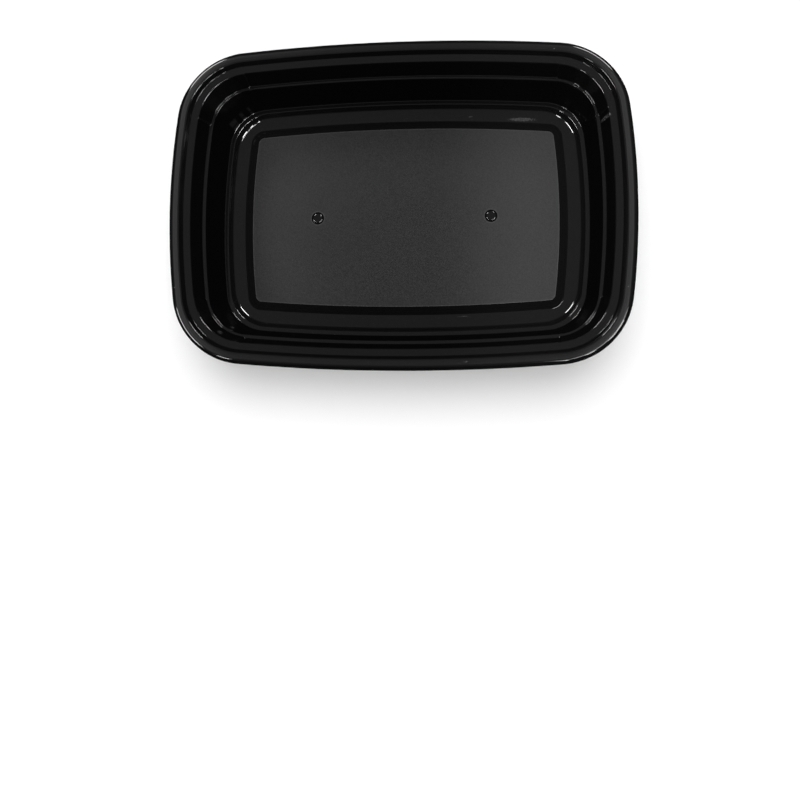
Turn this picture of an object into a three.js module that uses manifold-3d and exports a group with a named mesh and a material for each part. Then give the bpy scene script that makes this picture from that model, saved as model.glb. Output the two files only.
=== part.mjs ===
// Takeaway meal container: one thin moulded shell, 222 x 158 x 38 mm, standing on the ring round its floor.
// Millimetres, +Z up, origin under the middle of the container, X along the length.
import * as THREE from 'three';
import { mergeVertices } from 'three/addons/utils/BufferGeometryUtils.js';
import Module from 'manifold-3d';

// Plan of the rim: four gently bowed sides joined by round corners.
const rimLength = 222;
const rimWidth = 158;
const longSideRadius = 930;
const shortSideRadius = 365;
const cornerRadius = 35.4;

// Section, from the rim inwards. Every inset is measured square to the rim's outline.
const wall = 0.8;
const rimHeight = 38;
const skirtDepth = 3.6;
const skirtLean = 0.25;
const rimRound = 1.3;
const rimFall = 0.18;
const flangeInset = 5.2;
const seatInset = 6.85;
const seatDepth = 2.5;
const seatEnd = 10.2;
const stackLedgeInset = 13.2;
const stackLedgeEnd = 14.8;
const stackLedgeHeight = 24.5;
const heelInset = 18.85;
const heelEnd = 20.9;
const heelHeight = 3.4;
const footInset = 23.15;
const footEnd = 29.4;
const panelInset = 33.6;
const panelHeight = 3.2;

// Corner radii from the heel down, where they no longer follow the rim's corner at its inset.
const heelCorner = 20.6;
const heelEndCorner = 19.5;
const footCorner = 18.7;
const footEndCorner = 7;
const panelCorner = 3.1;

// Corner lugs that keep nested containers apart: how far the upper wall stands in at its top and its foot,
// and the length over which each lug ends.
const lugTop = 0.2;
const lugFoot = 0.6;
const lugEnd = 1.2;

// Two round gate marks on the floor, raised inside and hollow underneath.
const gateSpacing = 87.5;
const gateRadius = 3.2;
const gateTopRadius = 2.2;
const gateRise = 0.5;

// Fineness of the faceting.
const longSideSteps = 8;
const shortSideSteps = 6;
const cornerSteps = 8;
const gateSides = 24;
const edgeRound = 0.45;

// Centres of the side arcs: X of the one at +X, Y of the one at +Y.
const shortX = rimLength / 2 - shortSideRadius;
const longY = rimWidth / 2 - longSideRadius;

// The corner arc at +X +Y whose radius exceeds the rim's by spread: its centre and its first and last angle.
function cornerArc(spread) {
  const toLong = longSideRadius - cornerRadius - spread;
  const toShort = shortSideRadius - cornerRadius - spread;
  const apart = Math.hypot(shortX, longY);
  const along = (toLong ** 2 - toShort ** 2 + apart ** 2) / (2 * apart);
  const across = Math.sqrt(toLong ** 2 - along ** 2);
  const x = (shortX * along - longY * across) / apart;
  const y = longY - (longY * along + shortX * across) / apart;
  return { x, y, shortAngle: Math.atan2(y, x - shortX), longAngle: Math.atan2(y - longY, x) };
}

// Stations round the plan, anticlockwise. Each quarter has half a short side, a corner and half a long side;
// a station has its part, its share of the way along it, whether a lug stands there, and its quarter's signs.
function planStations() {
  const parts = [['short', shortSideSteps / 2], ['corner', cornerSteps], ['long', longSideSteps / 2]];
  const there = parts.flatMap(([part, steps]) => Array.from({ length: steps + 1 }, (_, i) => (
    { part, share: i / steps, lug: part === 'corner' }
  )));
  const back = [...there].reverse();
  return [[there, 1, 1], [back, -1, 1], [there, -1, -1], [back, 1, -1]].flatMap(([quarter, signX, signY]) => (
    quarter.slice(1).map((station) => ({ ...station, signX, signY }))
  ));
}

// Where a point of the section lies at a station.
function placed(station, point) {
  const corner = cornerArc(point.z);
  const lugAngle = lugEnd / cornerRadius;
  const [x, y, radius, from, to] = {
    short: [shortX, 0, shortSideRadius, 0, corner.shortAngle],
    corner: [
      corner.x, corner.y, cornerRadius + point.z, corner.shortAngle + lugAngle, corner.longAngle - lugAngle,
    ],
    long: [0, longY, longSideRadius, corner.longAngle, Math.PI / 2],
  }[station.part];
  const angle = from + (to - from) * station.share;
  const reach = radius - point.x;
  return new THREE.Vector3(
    station.signX * (x + reach * Math.cos(angle)), station.signY * (y + reach * Math.sin(angle)), point.y,
  );
}

// Upper surface, from the skirt's lower edge over the rim and down to the panel: inset, height and, where it
// does not follow the rim's, the corner's radius. The third number of a point is its corner's spread.
function upperLine(lug) {
  const rim = rimHeight - rimFall;
  const seat = rimHeight - seatDepth;
  return [
    [0, rimHeight - skirtDepth],
    [skirtLean, rim - rimRound],
    [skirtLean + rimRound, rim],
    [(skirtLean + rimRound + flangeInset) / 2, rimHeight],
    [flangeInset, rim],
    [seatInset, seat],
    [seatEnd + (lug ? lugTop : 0), seat],
    [stackLedgeInset + (lug ? lugFoot : 0), stackLedgeHeight],
    [stackLedgeEnd, stackLedgeHeight],
    [heelInset, heelHeight, heelCorner],
    [heelEnd, heelHeight, heelEndCorner],
    [footInset, wall, footCorner],
    [footEnd, wall, footEndCorner],
    [panelInset, panelHeight, panelCorner],
  ].map(([inset, height, corner = cornerRadius - inset]) => (
    new THREE.Vector3(inset, height, corner + inset - cornerRadius)
  ));
}

// Step from one point of a line to another, in inset and height alone.
function stepBetween(point, next) {
  return new THREE.Vector2(next.x - point.x, next.y - point.y);
}

// The same line set off towards the underside. It runs on level past its last point, as the panel does.
function setOff(line, distance) {
  const level = new THREE.Vector2(1, 0);
  const runs = line.slice(1).map((point, i) => stepBetween(line[i], point).normalize());
  return line.map((point, i) => {
    const [before, after] = [runs[i - 1] ?? runs[0], runs[i] ?? level];
    const square = new THREE.Vector2(before.y, -before.x);
    const middle = new THREE.Vector2(after.y, -after.x).add(square).normalize();
    const shift = middle.multiplyScalar(distance / middle.dot(square));
    return new THREE.Vector3(point.x + shift.x, point.y + shift.y, point.z);
  });
}

// Each inner corner of a line cut back to a small chamfer, its ends left as they are.
function eased(line, size) {
  return line.flatMap((point, i) => {
    if (i === 0 || i === line.length - 1) return [point];
    return [line[i - 1], line[i + 1]].map((next) => {
      return point.clone().lerp(next, Math.min(size / stepBetween(point, next).length(), 1 / 3));
    });
  });
}

// The closed section: the upper surface inwards, then the underside back out to the skirt's lower edge.
function section(lug) {
  const upper = upperLine(lug);
  return [...eased(upper, edgeRound), ...eased(setOff(upper, wall), edgeRound).reverse()];
}

// The section carried round the plan, with the panel's two faces closing it in the middle.
function shellGeometry() {
  const [plain, lugged] = [section(false), section(true)];
  const stations = planStations();
  const rings = plain.length;
  const panelRing = rings / 2 - 1;
  const points = stations.flatMap((station) => (
    (station.lug ? lugged : plain).map((point) => placed(station, point))
  ));
  const faces = [];
  stations.forEach((_, s) => {
    const here = s * rings;
    const next = ((s + 1) % stations.length) * rings;
    plain.forEach((__, r) => {
      if (r === panelRing) return;
      const inner = (r + 1) % rings;
      faces.push(here + r, next + r, next + inner, here + r, next + inner, here + inner);
    });
  });
  const closePanel = (ring, order) => {
    const outline = stations.map((_, s) => points[s * rings + ring]);
    THREE.ShapeUtils.triangulateShape(outline, []).forEach((face) => {
      faces.push(...order.map((i) => face[i] * rings + ring));
    });
  };
  closePanel(panelRing, [0, 1, 2]);
  closePanel(panelRing + 1, [0, 2, 1]);
  const geometry = new THREE.BufferGeometry();
  geometry.setFromPoints(points);
  geometry.setIndex(faces);
  return geometry;
}

// A flat-topped cone that stands out of a level face by the gate's rise, and as far into it.
function gateCone(x, face) {
  const foot = 2 * gateRadius - gateTopRadius;
  const profile = [[0, -gateRise], [foot, -gateRise], [gateTopRadius, gateRise], [0, gateRise]]
    .map(([radius, height]) => new THREE.Vector2(radius, height));
  return new THREE.LatheGeometry(profile, gateSides).rotateX(Math.PI / 2).translate(x, 0, face);
}

const wasm = await Module();
wasm.setup();

function toManifold(source) {
  const bare = source.clone();
  bare.deleteAttribute('normal');
  bare.deleteAttribute('uv');
  const merged = mergeVertices(bare);
  return new wasm.Manifold(new wasm.Mesh({
    numProp: 3,
    vertProperties: new Float32Array(merged.attributes.position.array),
    triVerts: new Uint32Array(merged.index.array),
  }));
}

function toGeometry(solid) {
  const mesh = solid.getMesh();
  const geometry = new THREE.BufferGeometry();
  geometry.setAttribute('position', new THREE.BufferAttribute(mesh.vertProperties, 3));
  geometry.setIndex(new THREE.BufferAttribute(mesh.triVerts, 1));
  return geometry;
}

function containerGeometry() {
  let solid = toManifold(shellGeometry());
  [-gateSpacing / 2, gateSpacing / 2].forEach((x) => {
    solid = solid.add(toManifold(gateCone(x, panelHeight)));
    solid = solid.subtract(toManifold(gateCone(x, panelHeight - wall)));
  });
  return toGeometry(solid);
}

const blackPlastic = new THREE.MeshStandardMaterial({ color: 0x0b0b0c, roughness: 0.18, metalness: 0 });
const container = new THREE.Mesh(containerGeometry(), blackPlastic);
container.name = 'container';

const group = new THREE.Group();
group.add(container);

export default group;
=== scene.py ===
import cmath
import math

import bpy
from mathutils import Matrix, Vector


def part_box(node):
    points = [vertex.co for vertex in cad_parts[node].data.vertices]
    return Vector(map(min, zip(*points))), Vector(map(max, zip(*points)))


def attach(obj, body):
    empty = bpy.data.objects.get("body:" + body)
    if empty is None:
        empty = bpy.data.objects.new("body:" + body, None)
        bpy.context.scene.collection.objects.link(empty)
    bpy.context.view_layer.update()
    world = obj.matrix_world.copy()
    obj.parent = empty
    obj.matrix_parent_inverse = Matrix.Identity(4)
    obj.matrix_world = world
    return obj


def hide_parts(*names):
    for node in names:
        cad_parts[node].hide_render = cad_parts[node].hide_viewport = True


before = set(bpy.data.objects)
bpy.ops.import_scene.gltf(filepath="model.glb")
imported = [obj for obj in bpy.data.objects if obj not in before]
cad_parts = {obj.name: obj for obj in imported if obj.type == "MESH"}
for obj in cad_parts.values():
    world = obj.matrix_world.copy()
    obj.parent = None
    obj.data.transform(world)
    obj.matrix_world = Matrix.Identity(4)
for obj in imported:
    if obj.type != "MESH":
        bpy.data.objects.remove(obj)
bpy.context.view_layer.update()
mm = 0.001
print("frame loaded:", ", ".join(sorted(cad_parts)))


# Node trees are written as expressions: a Socket carries its own arithmetic.
class Socket:
    def __init__(self, tree, output):
        self.tree = tree
        self.output = output

    def __add__(self, other):
        return self.tree.math("ADD", self, other)

    def __radd__(self, other):
        return self.tree.math("ADD", other, self)

    def __sub__(self, other):
        return self.tree.math("SUBTRACT", self, other)

    def __rsub__(self, other):
        return self.tree.math("SUBTRACT", other, self)

    def __mul__(self, other):
        return self.tree.math("MULTIPLY", self, other)

    def __rmul__(self, other):
        return self.tree.math("MULTIPLY", other, self)

    def __truediv__(self, other):
        return self.tree.math("DIVIDE", self, other)

    def __rtruediv__(self, other):
        return self.tree.math("DIVIDE", other, self)

    def __neg__(self):
        return self.tree.math("MULTIPLY", self, -1.0)

    def __lt__(self, other):
        return self.tree.math("LESS_THAN", self, other)

    def __gt__(self, other):
        return self.tree.math("GREATER_THAN", self, other)

    # Another output of the same node, by name
    def out(self, name):
        return Socket(self.tree, next(s for s in self.output.node.outputs if s.name == name and s.enabled))


class NodeTree:
    def __init__(self, tree):
        self.tree = tree

    # Any node: its type, its settings (made first), then the values or links of its inputs by name or number
    def node(self, kind, settings=None, inputs=None):
        made = self.tree.nodes.new(kind)
        for name, value in (settings or {}).items():
            setattr(made, name, value)
        for key, value in (inputs or {}).items():
            self.feed(self.findInput(made, key), value)
        return Socket(self, made.outputs[0] if made.outputs else None)

    def findInput(self, made, key):
        if isinstance(key, int):
            return made.inputs[key]
        return next(s for s in made.inputs if s.name == key and s.enabled)

    def feed(self, socket, value):
        if isinstance(value, Socket):
            self.tree.links.new(value.output, socket)
        else:
            socket.default_value = value

    def math(self, operation, *values):
        return self.node("ShaderNodeMath", {"operation": operation}, dict(enumerate(values)))

    # 0 up to start and 1 from end on, with an eased run between them; start may also be the higher of the two
    def smooth(self, value, start, end):
        inputs = {"Value": value, "From Min": start, "From Max": end}
        if start > end:
            inputs.update({"From Min": end, "From Max": start, "To Min": 1.0, "To Max": 0.0})
        return self.node("ShaderNodeMapRange", {"interpolation_type": "SMOOTHSTEP"}, inputs)

    def xyz(self, vector):
        return self.node("ShaderNodeSeparateXYZ", None, {0: vector})


# Container shell: plan of the rim, section from the rim inwards, corner radii from the heel down, lugs, gate
# marks, fillet radii and fineness. Insets are measured square to the rim's outline.
boxLow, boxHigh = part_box("container")
shell = {
    "rimLength": boxHigh.x - boxLow.x,
    "rimWidth": boxHigh.y - boxLow.y,
    "longSideRadius": 930 * mm,
    "shortSideRadius": 365 * mm,
    "cornerRadius": 35.4 * mm,
    "wall": 0.8 * mm,
    "rimHeight": 38 * mm,
    "skirtDepth": 3.6 * mm,
    "skirtLean": 0.25 * mm,
    "rimRound": 1.3 * mm,
    "rimFall": 0.18 * mm,
    "flangeInset": 5.2 * mm,
    "seatInset": 6.85 * mm,
    "seatDepth": 2.5 * mm,
    "seatEnd": 10.2 * mm,
    "stackLedgeInset": 13.2 * mm,
    "stackLedgeEnd": 14.8 * mm,
    "stackLedgeHeight": 24.5 * mm,
    "heelInset": 18.85 * mm,
    "heelEnd": 20.9 * mm,
    "heelHeight": 3.4 * mm,
    "footInset": 23.15 * mm,
    "footEnd": 29.4 * mm,
    "panelInset": 33.6 * mm,
    "panelHeight": 3.2 * mm,
    "panelBorder": 1.5 * mm,
    "panelMark": 5 * mm,
    "heelCorner": 20.6 * mm,
    "heelEndCorner": 19.5 * mm,
    "footCorner": 18.7 * mm,
    "footEndCorner": 7 * mm,
    "panelCorner": 3.1 * mm,
    "lugTop": 0.2 * mm,
    "lugFoot": 0.6 * mm,
    "lugEnd": 1.2 * mm,
    "gateSpacing": 87.5 * mm,
    "gateRadius": 3.2 * mm,
    "gateTopRadius": 2.2 * mm,
    "gateRise": 0.5 * mm,
    "gateSlopeRadius": 2.65 * mm,
    "gateSlopeRise": 0.05 * mm,
    "gateHole": 3.65 * mm,
    "nubRadius": 0.7 * mm,
    "nubFootRadius": 0.805 * mm,
    "nubHeight": 0.45 * mm,
    "fillets": {
        "skirtFoot": 0.2 * mm,
        "rimOuter": 2.2 * mm,
        "rimInner": 2.2 * mm,
        "rimCrown": 14 * mm,
        "flangeInset": 0.55 * mm,
        "seatInset": 0.35 * mm,
        "seatEnd": 0.55 * mm,
        "stackLedgeInset": 0.25 * mm,
        "stackLedgeEnd": 0.28 * mm,
        "heelInset": 0.4 * mm,
        "heelEnd": 0.55 * mm,
        "footInset": 2.3 * mm,
        "footEnd": 2.4 * mm,
        "panelInset": 0.6 * mm,
        "gateFoot": 0.05 * mm,
        "gateSlope": 0.1 * mm,
        "gateTop": 0.75 * mm,
        "nub": 0.15 * mm,
        "hollowRoof": 0.2 * mm,
        "hollowFoot": 0.3 * mm,
    },
    "filletSteps": 5,
    "filletBrace": 0.12 * mm,
    "filletRoom": 0.4,
    "leastFillet": 0.2 * mm,
    "cornerSteps": 40,
    "longSideSteps": 20,
    "shortSideSteps": 14,
    "gateSides": 48,
    "weld": 0.002 * mm,
}


# Corners of the upper surface from the skirt's lower edge inwards to the panel: inset, height, fillet radius
# and spread, which is how much wider the plan's corner is there than the rim's own at that inset.
def upperCorners(lug):
    s, f = shell, shell["fillets"]
    rim = s["rimHeight"] - s["rimFall"]
    seat = s["rimHeight"] - s["seatDepth"]
    rimInner = s["skirtLean"] + s["rimRound"]
    panelInner = s["panelInset"] + s["panelBorder"]
    shiftTop, shiftFoot = (s["lugTop"], s["lugFoot"]) if lug else (0, 0)
    corners = [
        (0, s["rimHeight"] - s["skirtDepth"], f["skirtFoot"]),
        (s["skirtLean"], rim - s["rimRound"], f["rimOuter"]),
        (rimInner, rim, f["rimInner"]),
        ((rimInner + s["flangeInset"]) / 2, s["rimHeight"], f["rimCrown"]),
        (s["flangeInset"], rim, f["flangeInset"]),
        (s["seatInset"], seat, f["seatInset"]),
        (s["seatEnd"] + shiftTop, seat, f["seatEnd"]),
        (s["stackLedgeInset"] + shiftFoot, s["stackLedgeHeight"], f["stackLedgeInset"]),
        (s["stackLedgeEnd"], s["stackLedgeHeight"], f["stackLedgeEnd"]),
        (s["heelInset"], s["heelHeight"], f["heelInset"], s["heelCorner"]),
        (s["heelEnd"], s["heelHeight"], f["heelEnd"], s["heelEndCorner"]),
        (s["footInset"], s["wall"], f["footInset"], s["footCorner"]),
        (s["footEnd"], s["wall"], f["footEnd"], s["footEndCorner"]),
        (s["panelInset"], s["panelHeight"], f["panelInset"], s["panelCorner"]),
        (panelInner, s["panelHeight"], 0, s["panelCorner"] - s["panelBorder"]),
    ]
    return [
        (inset, height, radius, corner[0] + inset - s["cornerRadius"] if corner else 0)
        for inset, height, radius, *corner in corners
    ]


# The same corners set off by the wall's thickness to the underside. A fillet keeps its centre where it can.
def undersideCorners(upper):
    wall = shell["wall"]
    points = [complex(inset, height) for inset, height, radius, spread in upper]
    runs = [(b - a) / abs(b - a) for a, b in zip(points, points[1:])]
    corners = []
    for i, (point, (inset, height, radius, spread)) in enumerate(zip(points, upper)):
        before, after = runs[max(i - 1, 0)], runs[min(i, len(runs) - 1)]
        turn = after / before
        moved = point - 1j * wall * (before + after) / (1 + turn.real)
        if radius and turn.imag:
            radius = max(radius + math.copysign(wall, turn.imag), shell["leastFillet"])
        corners.append((moved.real, moved.imag, radius, spread))
    return corners


# Every rounded corner becomes an arc, with a point close before and after it so that the flats stay flat.
# Gives each point of the line with its spread.
def filleted(corners):
    steps, brace = shell["filletSteps"], shell["filletBrace"]
    points = [complex(inset, height) for inset, height, radius, spread in corners]
    spreads = [spread for inset, height, radius, spread in corners]
    line = [(points[0], spreads[0])]
    for i in range(1, len(points) - 1):
        before, point, after = points[i - 1:i + 2]
        arriving, leaving = (point - before) / abs(point - before), (after - point) / abs(after - point)
        turn = cmath.phase(leaving / arriving)
        room = shell["filletRoom"] * min(abs(point - before), abs(after - point))
        reach = min(corners[i][2] * math.tan(abs(turn) / 2), room)
        start, end = point - arriving * reach, point + leaving * reach
        centre = start + 1j * arriving * reach / math.tan(turn / 2)
        arc = [centre + (start - centre) * cmath.exp(1j * turn * step / steps) for step in range(steps + 1)]
        rateIn = (spreads[i - 1] - spreads[i]) / abs(point - before)
        rateOut = (spreads[i + 1] - spreads[i]) / abs(after - point)
        shares = [step / steps for step in range(steps + 1)]
        eased = [spreads[i] + reach * (rateIn * (1 - t) ** 2 + rateOut * t ** 2) for t in shares]
        line.append((start - arriving * brace, spreads[i] + rateIn * (reach + brace)))
        line += zip(arc, eased)
        line.append((end + leaving * brace, spreads[i] + rateOut * (reach + brace)))
    return line + [(points[-1], spreads[-1])]


# The whole section, from the underside of the panel out to the skirt and back in over the top.
def sectionLine(lug):
    upper = upperCorners(lug)
    return filleted(undersideCorners(upper)[::-1] + upper)


# Radius and height round a gate mark: its raised top from the rim inwards, its hollow from the nub outwards.
def gateTopLine():
    s, f = shell, shell["fillets"]
    face = s["panelHeight"]
    return filleted([
        (s["gateHole"], face, 0, 0),
        (s["gateRadius"], face, f["gateFoot"], 0),
        (s["gateSlopeRadius"], face + s["gateSlopeRise"], f["gateSlope"], 0),
        (s["gateTopRadius"], face + s["gateRise"], f["gateTop"], 0),
        (0, face + s["gateRise"], 0, 0),
    ])


def gateHollowLine():
    s, f = shell, shell["fillets"]
    face = s["panelHeight"] - s["wall"]
    roof = face + s["gateRise"]
    return filleted([
        (0, roof - s["nubHeight"], 0, 0),
        (s["nubRadius"], roof - s["nubHeight"], f["nub"], 0),
        (s["nubFootRadius"], roof, f["nub"], 0),
        (s["gateTopRadius"], roof, f["hollowRoof"], 0),
        (s["gateRadius"], face, f["hollowFoot"], 0),
        (s["gateHole"], face, 0, 0),
    ])


# A line as a mesh of loose edges in the XZ plane, for a tree to sample.
def lineObject(name, line):
    points = [(point.real, 0, point.imag) for point, spread in line]
    mesh = bpy.data.meshes.new(name)
    mesh.from_pydata(points, [(i, i + 1) for i in range(len(points) - 1)], [])
    made = bpy.data.objects.new(name, mesh)
    bpy.context.scene.collection.objects.link(made)
    return made


# The section as the piece's own mesh. Each point has its spread, what a lug adds to it, and whether it is on
# the upper side.
def sectionObject(name):
    plain, lugged = sectionLine(False), sectionLine(True)
    made = lineObject(name, plain)
    lugOffset = made.data.attributes.new("lugOffset", "FLOAT_VECTOR", "POINT")
    for entry, (here, spread), (there, _) in zip(lugOffset.data, plain, lugged):
        entry.vector = ((there - here).real, 0, (there - here).imag)
    spreads = made.data.attributes.new("spread", "FLOAT", "POINT")
    for entry, (here, spread) in zip(spreads.data, plain):
        entry.value = spread
    topSide = made.data.attributes.new("topSide", "FLOAT", "POINT")
    for i, entry in enumerate(topSide.data):
        entry.value = float(i >= len(plain) // 2)
    return made


# Builds the shell: the section carried round the rim's plan, the panel's two faces, and the gate marks.
class ShellTree(NodeTree):
    def __init__(self, material):
        super().__init__(bpy.data.node_groups.new("sweptShell", "GeometryNodeTree"))
        self.identifiers = {}
        self.addInput("Section", "NodeSocketGeometry")
        for name in ("rimLength", "rimWidth", "longSideRadius", "shortSideRadius", "cornerRadius", "lugEnd",
                     "panelInset", "panelHeight", "wall", "gateSpacing", "gateHole", "weld"):
            self.addInput(name, "NodeSocketFloat", shell[name])
        for name in ("cornerSteps", "longSideSteps", "shortSideSteps", "gateSides"):
            self.addInput(name, "NodeSocketInt", shell[name])
        for name in ("gateTop", "gateHollow"):
            self.addInput(name, "NodeSocketObject")
        self.tree.interface.new_socket("Shell", in_out="OUTPUT", socket_type="NodeSocketGeometry")
        self.given = self.node("NodeGroupInput")
        self.build(material)

    def addInput(self, name, kind, value=None):
        socket = self.tree.interface.new_socket(name, in_out="INPUT", socket_type=kind)
        if value is not None:
            socket.default_value = value
        self.identifiers[name] = socket.identifier

    def size(self, name):
        return self.given.out(name)

    def welded(self, geometry):
        inputs = {"Geometry": geometry, "Distance": self.size("weld")}
        return self.node("GeometryNodeMergeByDistance", None, inputs)

    def named(self, name, kind="FLOAT"):
        return self.node("GeometryNodeInputNamedAttribute", {"data_type": kind}, {"Name": name})

    def store(self, geometry, name, value):
        inputs = {"Geometry": geometry, "Name": name, "Value": value}
        return self.node("GeometryNodeStoreNamedAttribute", {"data_type": "FLOAT", "domain": "POINT"}, inputs)

    def sample(self, line, value, place, kind):
        inputs = {"Geometry": line, "Value": value, "Index": place}
        return self.node("GeometryNodeSampleIndex", {"data_type": kind, "domain": "POINT"}, inputs)

    def join(self, *parts):
        made = self.node("GeometryNodeJoinGeometry")
        for part in reversed(parts):
            self.tree.links.new(part.output, made.output.node.inputs[0])
        return made

    # A grid with a column for each station and a row for each point of a line, and every grid point's station
    # and place along the line
    def gridAlong(self, line, stations):
        count = self.node("GeometryNodeAttributeDomainSize", {"component": "MESH"}, {"Geometry": line})
        grid = self.node("GeometryNodeMeshGrid", None, {"Vertices X": stations + 1, "Vertices Y": count})
        index = self.node("GeometryNodeInputIndex")
        station = self.math("FLOOR", index / count)
        return grid, station, index - station * count

    # Centre of the corner arc of this radius that touches both side arcs, in the +X +Y quarter
    def cornerCentre(self, shortX, longY, radius):
        toLong = self.size("longSideRadius") - radius
        toShort = self.size("shortSideRadius") - radius
        apart = self.math("SQRT", shortX * shortX + longY * longY)
        along = (toLong * toLong - toShort * toShort + apart * apart) / (2 * apart)
        across = self.math("SQRT", toLong * toLong - along * along)
        directionX, directionY = shortX / apart, -longY / apart
        return directionX * along + directionY * across, longY + directionY * along - directionX * across

    # Place and lug share of every grid point: four quarters, each a half side, a corner and a half side
    def plan(self, station, inset, spread, lugInset):
        shortX = self.size("rimLength") / 2 - self.size("shortSideRadius")
        longY = self.size("rimWidth") / 2 - self.size("longSideRadius")
        cornerRadius = self.size("cornerRadius") + spread
        cornerX, cornerY = self.cornerCentre(shortX, longY, cornerRadius)
        shortAngle = self.math("ARCTAN2", cornerY, cornerX - shortX)
        longAngle = self.math("ARCTAN2", cornerY - longY, cornerX)
        halfShort = self.size("shortSideSteps") / 2
        halfLong = self.size("longSideSteps") / 2
        bend = halfShort + self.size("cornerSteps")
        quarter = bend + halfLong
        step = self.math("PINGPONG", station, quarter)
        share = self.smooth((step - halfShort) / self.size("cornerSteps"), 0.0, 1.0)
        angle = (
            shortAngle * self.math("MINIMUM", step / halfShort, 1.0)
            + (longAngle - shortAngle) * share
            + (math.pi / 2 - longAngle) * self.math("MAXIMUM", (step - bend) / halfLong, 0.0)
        )
        onShort, onLong = step < halfShort, step > bend
        onCorner = 1 - onShort - onLong
        radius = (
            onShort * self.size("shortSideRadius")
            + onLong * self.size("longSideRadius")
            + onCorner * cornerRadius
        )
        toEnd = self.math("MINIMUM", angle - shortAngle, longAngle - angle) * self.size("cornerRadius")
        lug = self.smooth(toEnd / self.size("lugEnd"), 0.0, 1.0)
        reach = radius - inset - lug * lugInset
        x = onShort * shortX + onCorner * cornerX + reach * self.math("COSINE", angle)
        y = onLong * longY + onCorner * cornerY + reach * self.math("SINE", angle)
        signX = 1 - 2 * (station > quarter) * (station < 3 * quarter)
        signY = 1 - 2 * (station > 2 * quarter)
        return x * signX, y * signY, lug

    def sweep(self, section):
        sideSteps = self.size("longSideSteps") + self.size("shortSideSteps")
        grid, station, place = self.gridAlong(section, 4 * self.size("cornerSteps") + 2 * sideSteps)
        position = self.node("GeometryNodeInputPosition")
        point = self.xyz(self.sample(section, position, place, "FLOAT_VECTOR"))
        lugOffset = self.named("lugOffset", "FLOAT_VECTOR")
        added = self.xyz(self.sample(section, lugOffset, place, "FLOAT_VECTOR"))
        spread = self.sample(section, self.named("spread"), place, "FLOAT")
        x, y, lug = self.plan(station, point.out("X"), spread, added.out("X"))
        height = point.out("Z") + lug * added.out("Z")
        grid = self.store(grid, "inset", point.out("X"))
        grid = self.store(grid, "topSide", self.sample(section, self.named("topSide"), place, "FLOAT"))
        return self.welded(self.moved(grid, x, y, height))

    def moved(self, geometry, x, y, z):
        position = self.node("ShaderNodeCombineXYZ", None, {"X": x, "Y": y, "Z": z})
        return self.node("GeometryNodeSetPosition", None, {"Geometry": geometry, "Position": position})

    # Gives a face of the floor panel or a gate mark the inset and the side that the material reads
    def marked(self, geometry, side):
        inset = self.size("panelInset") + shell["panelMark"]
        return self.store(self.store(geometry, "inset", inset), "topSide", side)

    # What an object's line sweeps when turned about +Z
    def revolve(self, name):
        line = self.node("GeometryNodeObjectInfo", None, {"Object": self.size(name)}).out("Geometry")
        sides = self.size("gateSides")
        grid, station, place = self.gridAlong(line, sides)
        position = self.node("GeometryNodeInputPosition")
        point = self.xyz(self.sample(line, position, place, "FLOAT_VECTOR"))
        angle = station * (2 * math.pi / sides)
        radius = point.out("X")
        x, y = radius * self.math("COSINE", angle), radius * self.math("SINE", angle)
        return self.moved(grid, x, y, point.out("Z"))

    # A copy at each gate mark
    def atGates(self, geometry):
        start = self.node("ShaderNodeCombineXYZ", None, {"X": self.size("gateSpacing") / -2})
        offset = self.node("ShaderNodeCombineXYZ", None, {"X": self.size("gateSpacing")})
        inputs = {"Count": 2, "Start Location": start, "Offset": offset}
        places = self.node("GeometryNodeMeshLine", {"mode": "OFFSET", "count_mode": "TOTAL"}, inputs)
        copies = self.node("GeometryNodeInstanceOnPoints", None, {"Points": places, "Instance": geometry})
        return self.node("GeometryNodeRealizeInstances", None, {"Geometry": copies})

    # One face of the panel: the open edge of the sweep filled level, with a hole for each gate mark
    def panelFace(self, sweep, side, height):
        openEdge = self.node("GeometryNodeInputMeshEdgeNeighbors") < 1.5
        onSide = self.named("topSide") > 0.5
        chosen = openEdge * (onSide if side else 1 - onSide)
        outline = self.node("GeometryNodeMeshToCurve", None, {"Mesh": sweep, "Selection": chosen})
        inputs = {"Resolution": self.size("gateSides"), "Radius": self.size("gateHole")}
        holes = self.atGates(self.node("GeometryNodeCurvePrimitiveCircle", {"mode": "RADIUS"}, inputs))
        face = self.node("GeometryNodeFillCurve", None, {0: self.join(outline, holes)})
        lift = self.node("ShaderNodeCombineXYZ", None, {"Z": height})
        face = self.node("GeometryNodeTransform", None, {"Geometry": face, "Translation": lift})
        if not side:
            face = self.node("GeometryNodeFlipFaces", None, {0: face})
        return self.marked(face, float(side))

    def build(self, material):
        sweep = self.sweep(self.size("Section"))
        upper = self.panelFace(sweep, 1, self.size("panelHeight"))
        lower = self.panelFace(sweep, 0, self.size("panelHeight") - self.size("wall"))
        tops = self.marked(self.atGates(self.revolve("gateTop")), 1.0)
        hollows = self.marked(self.atGates(self.revolve("gateHollow")), 0.0)
        whole = self.welded(self.join(sweep, upper, lower, tops, hollows))
        whole = self.node("GeometryNodeSetShadeSmooth", None, {"Geometry": whole})
        whole = self.node("GeometryNodeRealizeInstances", None, {"Geometry": whole})
        whole = self.node("GeometryNodeSetMaterial", None, {"Geometry": whole, "Material": material})
        self.node("NodeGroupOutput", None, {0: whole})


# Gives an object the tree with these inputs, and leaves the plain mesh that comes out of it.
def grown(made, tree, values):
    modifier = made.modifiers.new("shape", "NODES")
    modifier.node_group = tree.tree
    for name, value in values.items():
        modifier[tree.identifiers[name]] = value
    bpy.context.view_layer.update()
    evaluated = made.evaluated_get(bpy.context.evaluated_depsgraph_get())
    mesh = bpy.data.meshes.new_from_object(evaluated)
    made.modifiers.clear()
    made.data = mesh
    mesh.name = made.name
    return made


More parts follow.
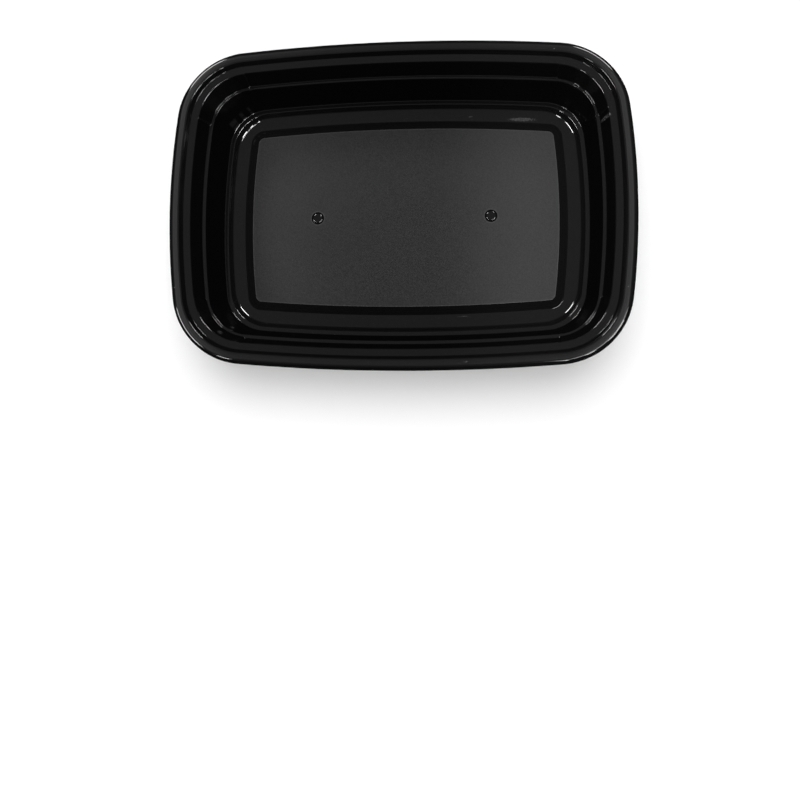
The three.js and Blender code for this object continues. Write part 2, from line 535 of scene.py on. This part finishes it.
# Finish of the plastic: colour, gloss and relief of each moulded surface, its rubbed places, and the painted
# sheen, highlights, reflections and shade on it.
finish = {
    "ior": 1.49,
    "black": 0.0008,
    "ledgeRoughness": 0.07,
    "wallRoughness": 0.1,
    "rimRoughness": 0.22,
    "panelRoughness": 0.325,
    "undersideRoughness": 0.2,
    "unevenness": 0.03,
    "unevenSize": 30 * mm,
    "grainSize": 0.6 * mm,
    "grainDepth": 0.04,
    "rimGrainDepth": 0.001,
    "peelSize": 5 * mm,
    "peelDepth": 0.0015,
    "panelGrey": 0.0052,
    "panelMottle": 4.8,
    # Painted highlight: how much paler the panel's edge and the ring round each gate mark are
    "fringeHighlight": 2.6,
    # Painted sheen, where the panel (and with it the black) is paler: axis, where that starts and where it is
    # full, and by how much
    "panelPaintedSheen": {
        "right": ("X", 10 * mm, 66 * mm, 2.4),
        "left": ("X", -20 * mm, -75 * mm, 0.96),
        "rear": ("Y", -45 * mm, 45 * mm, 0.432),
    },
    # Painted sheen: grey of the flange towards its ends, and where in X that starts and is full
    "rimPaintedSheen": 0.016,
    "rimPaintedSheenEnds": (75 * mm, 108 * mm),
    "shade": 0.965,
    "rimShade": 0.5,
    "wallFade": 0.35 * mm,
    # Zones of the upper side: the insets where each starts and ends, and half the width of its soft edges
    "zones": {
        "skirt": (-5 * mm, shell["skirtLean"] + 1.125 * mm, 0.075 * mm),
        "rimOuter": (shell["skirtLean"] + 1.2 * mm, shell["skirtLean"] + 1.9 * mm, 0.1 * mm),
        "flange": (shell["skirtLean"] + 2.08 * mm, shell["flangeInset"] - 0.6 * mm, 0.2 * mm),
        "seatSlope": (shell["flangeInset"] + 0.7 * mm, shell["seatInset"] - 0.6 * mm, 0.3 * mm),
        "heelSlope": (shell["heelEnd"] + 0.7 * mm, shell["footInset"] - 1 * mm, 0.3 * mm),
        "panelSlope": (shell["footEnd"] + 1.4 * mm, shell["panelInset"] - 0.6 * mm, 0.3 * mm),
    },
    # Soft edges beside an inset or a radius: where each starts and where it ends
    "softEdges": {
        "panel": (-0.2 * mm, 0.1 * mm),
        "gate": (-0.1 * mm, 0.1 * mm),
        # Painted highlight: the paler band at the panel's edge and round each gate mark
        "panelFringeHighlight": (0.7 * mm, 0.2 * mm),
        "gateFringeHighlight": (0.6 * mm, 0.3 * mm),
        "gateSlopeTop": (0.15 * mm, 0.3 * mm),
        "gateSlopeFoot": (0.05 * mm, -0.05 * mm),
    },
    # Grey of the rubbed places, and of the painted highlight and painted reflections among them
    "rubAndGlintGrey": 0.2,
    "rubAndGlintFade": (1.0, 0.3),
    "rubAndGlintGrain": 0.8 * mm,
    "rubAndGlintPatches": (0.35, 0.6),
    # Rubbed places on the upper side, and a painted highlight on the right wall and painted reflections on
    # the front-left seat and wall: middle in X and Y (mm), length and width (mm), turn (degrees), strength
    "rubsAndGlints": {
        "ringRear": (59.5, 49.6, 17, 2.6, -2, 0.28),
        "ringRearSmall": (33.6, 51.8, 3, 1.2, 0, 0.12),
        "ringFront": (29.9, -50.2, 7, 0.8, 2, 0.12),
        "flangeFront": (31.7, -74.8, 3, 1, 0, 0.2),
        "flangeLeft": (-106.7, -39.6, 1.2, 0.6, 30, 0.4),
        "flangeRight": (105.3, -40.6, 1, 0.6, 0, 0.5),
        "flangeRear": (73.4, 72.1, 1, 0.6, 0, 0.4),
        # Painted highlight: a lamp's glint on the end face of a lug
        "wallRightGlint": (97.4, 40.4, 4.6, 2.4, 10, 0.8),
        # Painted reflections: mirror images of bright edges in the front-left seat and wall
        "seatFrontReflection": (-85.8, -60.5, 3.4, 1.6, -40, 0.3),
        "wallFrontReflection": (-83, -57, 2.6, 0.9, -30, 0.3),
    },
}


class MaterialTree(NodeTree):
    def __init__(self, name):
        self.material = bpy.data.materials.new(name)
        self.material.use_nodes = True
        super().__init__(self.material.node_tree)
        self.tree.nodes.clear()
        self.place = self.node("ShaderNodeTexCoord").out("Object")

    def attribute(self, name):
        return self.node("ShaderNodeAttribute", {"attribute_name": name}).out("Fac")

    def noise(self, size, detail=2.0):
        inputs = {"Vector": self.place, "Scale": 1 / size, "Detail": detail}
        return self.node("ShaderNodeTexNoise", None, inputs)

    def mixColour(self, share, first, second):
        settings = {"data_type": "RGBA"}
        return self.node("ShaderNodeMix", settings, {"Factor": share, "A": first, "B": second}).out("Result")

    def plastic(self, inputs, more):
        return self.node("ShaderNodeBsdfPrincipled", None, {**inputs, **more})

    def finishWith(self, surface):
        self.node("ShaderNodeOutputMaterial", None, {"Surface": surface})
        return self.material


def grey(value):
    return (value, value, value, 1)


# Share of the rubbed places and of the painted highlight and painted reflections, from their place on the
# container and a patchy noise
def rubAndGlintShare(tree, axes):
    rubAndGlint = 0
    for middleX, middleY, length, width, turn, strength in finish["rubsAndGlints"].values():
        along, across = math.cos(math.radians(turn)), math.sin(math.radians(turn))
        offX, offY = axes.out("X") - middleX * mm, axes.out("Y") - middleY * mm
        lengthways = (offX * along + offY * across) * (2 / (length * mm))
        sideways = (offY * along - offX * across) * (2 / (width * mm))
        reach = tree.math("SQRT", lengthways * lengthways + sideways * sideways)
        rubAndGlint = rubAndGlint + tree.smooth(reach, *finish["rubAndGlintFade"]) * strength
    return rubAndGlint * tree.smooth(tree.noise(finish["rubAndGlintGrain"], 3.0), *finish["rubAndGlintPatches"])


# One plastic for the whole container. A point's inset, height and side say which surface it is on.
def blackPlastic():
    f, s = finish, shell
    tree = MaterialTree("blackPlastic")
    inset, topSide = tree.attribute("inset"), tree.attribute("topSide")
    axes = tree.xyz(tree.place)
    fromGate = tree.math("ABSOLUTE", axes.out("X")) - s["gateSpacing"] / 2
    gateReach = tree.math("SQRT", fromGate * fromGate + axes.out("Y") * axes.out("Y"))

    def zone(name):
        start, end, ease = f["zones"][name]
        begun = tree.smooth(inset, start - ease, start + ease)
        return begun * tree.smooth(inset, end + ease, end - ease) * topSide

    def beside(name, value, place):
        start, end = f["softEdges"][name]
        return tree.smooth(value, place + start, place + end)

    def wallBetween(low, high):
        height, fade = axes.out("Z"), f["wallFade"]
        above = tree.smooth(height, low + fade, low + 2 * fade)
        below = tree.smooth(height, high - fade, high - 2 * fade)
        return above * below * tree.smooth(inset, s["seatEnd"] - fade, s["seatEnd"]) * topSide

    panel = beside("panel", inset, s["panelInset"]) * topSide * beside("gate", gateReach, s["gateRadius"])
    flange = zone("flange")
    wall = wallBetween(s["heelHeight"], s["stackLedgeHeight"])
    wall = wall + wallBetween(s["stackLedgeHeight"], s["rimHeight"] - s["seatDepth"])

    # Gloss
    roughness = (
        f["undersideRoughness"]
        + topSide * (f["ledgeRoughness"] - f["undersideRoughness"])
        + wall * (f["wallRoughness"] - f["ledgeRoughness"])
        + flange * (f["rimRoughness"] - f["ledgeRoughness"])
        + panel * (f["panelRoughness"] - f["ledgeRoughness"])
        + (tree.noise(f["unevenSize"], 3.0) - 0.5) * f["unevenness"]
    )

    # Relief, in millimetres
    grain = tree.noise(f["grainSize"])
    relief = grain * (panel * f["grainDepth"] + flange * f["rimGrainDepth"])
    relief = relief + tree.noise(f["peelSize"], 1.0) * f["peelDepth"]
    bump = tree.node("ShaderNodeBump", None, {"Strength": 1.0, "Distance": mm, "Height": relief})

    # Colour: the panel's mottled grey in the black with its painted sheen and painted edge highlight, then
    # the flange's painted sheen towards its ends, and the rubbed places with a painted highlight and painted
    # reflections
    mottleAndSheen = 1 + (grain - 0.5) * f["panelMottle"]
    # Painted sheen: the panel, and the black with it, paler towards the right, the left and the rear
    for axis, start, full, amount in f["panelPaintedSheen"].values():
        mottleAndSheen = mottleAndSheen + tree.smooth(axes.out(axis), start, full) * amount
    # Painted highlight along the panel's edge and round each gate mark; it also lifts the black outside the
    # panel
    fringeHighlightShare = beside("panelFringeHighlight", inset, s["panelInset"])
    fringeHighlightShare = fringeHighlightShare + beside("gateFringeHighlight", gateReach, s["gateRadius"])
    mottleAndSheen = mottleAndSheen + fringeHighlightShare * f["fringeHighlight"]
    colour = tree.mixColour(panel, grey(f["black"]), grey(f["panelGrey"]))
    colour = tree.node("ShaderNodeVectorMath", {"operation": "SCALE"}, {"Vector": colour, "Scale": mottleAndSheen})
    # Painted sheen on the flange towards its ends
    ends = tree.smooth(tree.math("ABSOLUTE", axes.out("X")), *f["rimPaintedSheenEnds"])
    colour = tree.mixColour(flange * ends, colour, grey(f["rimPaintedSheen"]))
    colour = tree.mixColour(rubAndGlintShare(tree, axes) * topSide, colour, grey(f["rubAndGlintGrey"]))

    # Painted shade: steep walls, slopes and the skirt, and half of the rim's outer round, are mixed towards a
    # plastic without reflection, so they mirror less of the room than level ones
    gateSlope = beside("gateSlopeTop", gateReach, s["gateTopRadius"])
    gateSlope = gateSlope * beside("gateSlopeFoot", gateReach, s["gateRadius"]) * topSide
    slopes = zone("seatSlope") + zone("heelSlope") + zone("panelSlope") + gateSlope
    share = (wall + zone("skirt") + slopes) * f["shade"] + zone("rimOuter") * f["rimShade"]

    inputs = {"Base Color": colour, "Roughness": roughness, "Normal": bump.out("Normal"), "IOR": f["ior"]}
    glossy = tree.plastic(inputs, {})
    shaded = tree.plastic(inputs, {"Specular IOR Level": 0.0})
    return tree.finishWith(tree.node("ShaderNodeMixShader", None, {0: share, 1: glossy, 2: shaded}))


def containerShell():
    tree = ShellTree(blackPlastic())
    profiles = {"gateTop": lineObject("gateTop", gateTopLine()),
                "gateHollow": lineObject("gateHollow", gateHollowLine())}
    made = grown(sectionObject("containerShell"), tree, profiles)
    for profile in profiles.values():
        bpy.data.objects.remove(profile)
    return made


container = containerShell()
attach(container, "root")
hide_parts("container")
print("container shell:", len(container.data.polygons), "faces,", len(container.data.vertices), "points")


# Studio: the floor, the room that the gloss mirrors, by how far up a direction points, and the lights.
studio = {
    "floorSize": 8.0,
    "floorColour": 0.8,
    "floorMottle": 0.985,
    "floorMottleSize": 0.4,
    "floorRoughness": 0.9,
    "overhead": 0.2,
    "overheadFrom": (0.25, 0.8),
    "below": 0.45,
    "belowFrom": (-0.05, -0.3),
    "belowTo": (-0.95, -0.8),
    "backdrop": 1.0,
    "skyDistance": 2,
    # Azimuth, elevation and softness in degrees, and strength
    "skies": {
        "rearSky": (84, 70, 50, 2.25),
        "topSky": (-90, 80, 10, 1.7),
    },
    "lampDistance": 1.2,
    # Azimuth and elevation, the width and height that the lamp spans, in degrees, and radiance
    "lamps": {
        "frontRight": (-26, 42, 18, 12, 42),
        "frontRightMiddle": (-52, 42, 8, 12, 36),
        "frontRightNarrow": (-73, 42, 5, 12, 36),
        "frontRightHigh": (-36, 58, 60, 7, 24),
        "frontLeft": (-162, 41, 28, 11, 42),
        "frontLeftNarrow": (-128, 41, 10, 11, 36),
        "rearRight": (60, 33, 22, 12, 42),
        "rearLeft": (131, 33, 20, 14, 38),
    },
}


def towards(azimuth, elevation):
    a, e = math.radians(azimuth), math.radians(elevation)
    return Vector((math.cos(a) * math.cos(e), math.sin(a) * math.cos(e), math.sin(e)))


def aimed(name, light, azimuth, elevation, distance):
    made = bpy.data.objects.new(name, light)
    made.location = towards(azimuth, elevation) * distance
    made.rotation_euler = towards(azimuth, elevation).to_track_quat("Z", "Y").to_euler()
    bpy.context.scene.collection.objects.link(made)
    return made


# A softbox, which shows only in the gloss of the plastic
def softbox(name, azimuth, elevation, width, height, radiance):
    distance = studio["lampDistance"]
    light = bpy.data.lights.new(name, "AREA")
    light.shape = "RECTANGLE"
    light.size = 2 * distance * math.cos(math.radians(elevation)) * math.tan(math.radians(width / 2))
    light.size_y = 2 * distance * math.tan(math.radians(height / 2))
    light.energy = radiance * math.pi * light.size * light.size_y
    aimed(name, light, azimuth, elevation, distance).visible_diffuse = False


# Soft light from above that gives the floor its white and the container its shadow
def skyLight(name, azimuth, elevation, softness, strength):
    light = bpy.data.lights.new(name, "SUN")
    light.energy = strength
    light.angle = math.radians(softness)
    aimed(name, light, azimuth, elevation, studio["skyDistance"]).visible_glossy = False


def paleFloor():
    half = studio["floorSize"] / 2
    corners = [(-half, -half, 0), (half, -half, 0), (half, half, 0), (-half, half, 0)]
    mesh = bpy.data.meshes.new("paleFloor")
    mesh.from_pydata(corners, [], [(0, 1, 2, 3)])
    made = bpy.data.objects.new("paleFloor", mesh)
    made.visible_glossy = False
    bpy.context.scene.collection.objects.link(made)
    tree = MaterialTree("palePaint")
    light, dark = studio["floorColour"], studio["floorColour"] * studio["floorMottle"]
    colour = tree.mixColour(tree.noise(studio["floorMottleSize"]), grey(light), grey(dark))
    paint = {"Base Color": colour, "Roughness": studio["floorRoughness"]}
    mesh.materials.append(tree.finishWith(tree.plastic(paint, {"Specular IOR Level": 0.0})))


# The room: dim above, dark towards the horizon, a band of light off the floor for the gloss of the outer
# walls, and a white backdrop where the camera sees past the floor
def room():
    world = bpy.data.worlds.new("room")
    world.use_nodes = True
    bpy.context.scene.world = world
    tree = NodeTree(world.node_tree)
    tree.tree.nodes.clear()
    direction = tree.node("ShaderNodeTexCoord").out("Generated")
    up = tree.xyz(direction).out("Z")
    offFloor = tree.smooth(up, *studio["belowFrom"]) * tree.smooth(up, *studio["belowTo"])
    dim = tree.smooth(up, *studio["overheadFrom"]) * studio["overhead"] + offFloor * studio["below"]
    seen = tree.node("ShaderNodeLightPath").out("Is Camera Ray")
    strength = dim + seen * (studio["backdrop"] - dim)
    background = tree.node("ShaderNodeBackground", None, {"Color": grey(1.0), "Strength": strength})
    tree.node("ShaderNodeOutputWorld", None, {"Surface": background})


for name, sizes in studio["lamps"].items():
    softbox(name, *sizes)
for name, sizes in studio["skies"].items():
    skyLight(name, *sizes)
paleFloor()
room()
print("studio:", len(studio["lamps"]), "softboxes and", len(studio["skies"]), "skies")


# Camera, nearly overhead. The shift keeps the container in the upper half of the frame.
view = {
    "location": (41.12 * mm, -100.96 * mm, 497.87 * mm),
    "rotation": (6.013, 6.464, 0.459),
    "lens": 45,
    "sensor": 36,
    "shift": (0.03427, -0.10771),
}


def camera():
    lens = bpy.data.cameras.new("camera")
    lens.sensor_width = view["sensor"]
    lens.lens = view["lens"]
    lens.shift_x, lens.shift_y = view["shift"]
    made = bpy.data.objects.new("camera", lens)
    made.location = view["location"]
    made.rotation_euler = [math.radians(angle) for angle in view["rotation"]]
    bpy.context.scene.collection.objects.link(made)
    bpy.context.scene.camera = made


camera()
bpy.context.scene.view_settings.view_transform = "Standard"
print("camera: lens", view["lens"], "mm")
